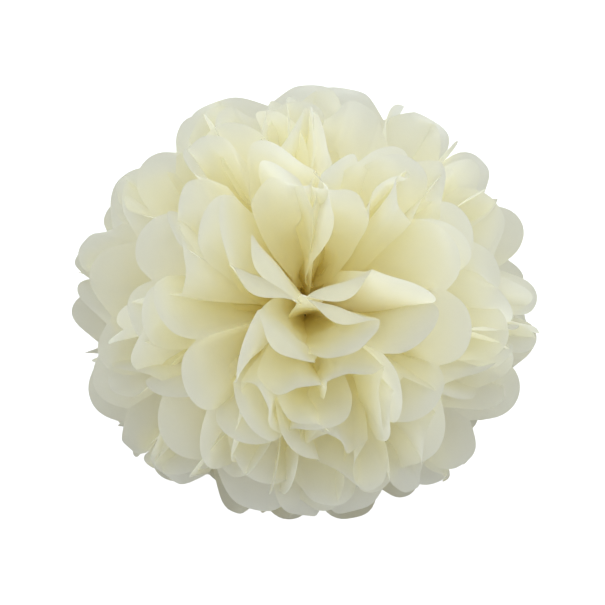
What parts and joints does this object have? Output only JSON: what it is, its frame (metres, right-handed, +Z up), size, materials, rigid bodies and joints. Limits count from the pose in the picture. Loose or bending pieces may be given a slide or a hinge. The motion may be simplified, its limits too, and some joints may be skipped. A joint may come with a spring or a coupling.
{
  "type": "tissue paper pom pom",
  "caption": "Ball-shaped hanging decoration of pleated cream tissue paper sheets, tied at the middle with wire, with rounded petal ends.",
  "frame": {"origin": "middle of the base, under the wire", "axes": "+Z up along the line that the sheets are pulled apart on, +X along the pleated strip, +Y across it"},
  "size_m": [0.2508, 0.2256, 0.1944],
  "materials": {
    "tissue": "soft matte cream tissue, thin enough to let light through",
    "wire": "plain floral wire, dull"
  },
  "bodies": {
    "root": {"sheet_01": "tissue", "sheet_02": "tissue", "sheet_03": "tissue", "sheet_04": "tissue", "sheet_05": "tissue", "sheet_06": "tissue", "sheet_07": "tissue", "sheet_08": "tissue", "sheet_09": "tissue", "sheet_10": "tissue", "wire_tie": "wire"}
  },
  "joints": []
}
